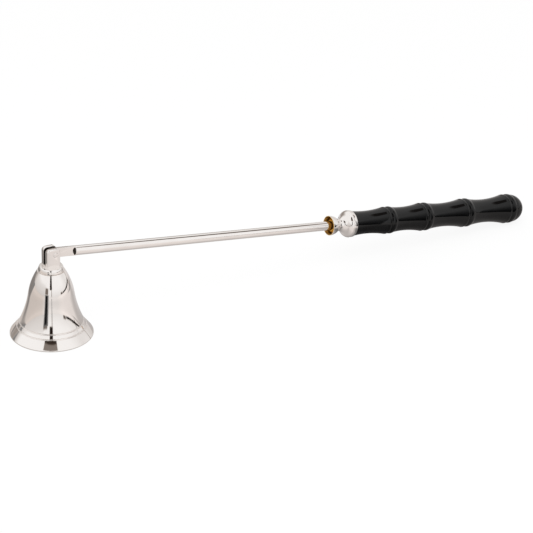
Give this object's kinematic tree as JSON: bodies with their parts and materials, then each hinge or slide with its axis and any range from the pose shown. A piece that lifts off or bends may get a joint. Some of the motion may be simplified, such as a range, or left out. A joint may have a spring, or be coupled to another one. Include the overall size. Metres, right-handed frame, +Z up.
{
  "type": "candle snuffer",
  "caption": "Candle snuffer with a polished bell that tilts on a pinned fork, a straight rod, a turned ferrule with a brass-lined cup and a black bamboo-style handle.",
  "frame": {"origin": "centre of the bell's mouth, on the plane of its rim, which is the table it stands on", "axes": "+X from the bell towards the handle, +Y across the object along the hinge pin, +Z up along the bell's axis"},
  "size_m": [0.3234, 0.0426, 0.0481],
  "materials": {
    "plated_bell": "polished nickel plate on brass",
    "plated_fittings": "polished nickel plate on brass",
    "plated_rod": "polished nickel plate on brass bar",
    "plain_brass": "bare brass",
    "black_lacquer": "glossy black, turned"
  },
  "bodies": {
    "bell_head": {"bell": "plated_bell", "collar": "plated_fittings", "fork": "plated_fittings", "crown_washer": "plain_brass", "crown_nut": "plain_brass", "hinge_pin": "plated_fittings"},
    "handle_rod": {"rod": "plated_rod", "ferrule": "plated_fittings", "handle": "black_lacquer", "handle_insert": "plain_brass"}
  },
  "joints": [
    {"name": "bell_tilt", "type": "hinge", "parent": "bell_head", "child": "handle_rod", "pos_m": [0.001, 0, 0.0451], "axis": [0, -1, 0], "range_deg": [-28, 214]}
  ]
}
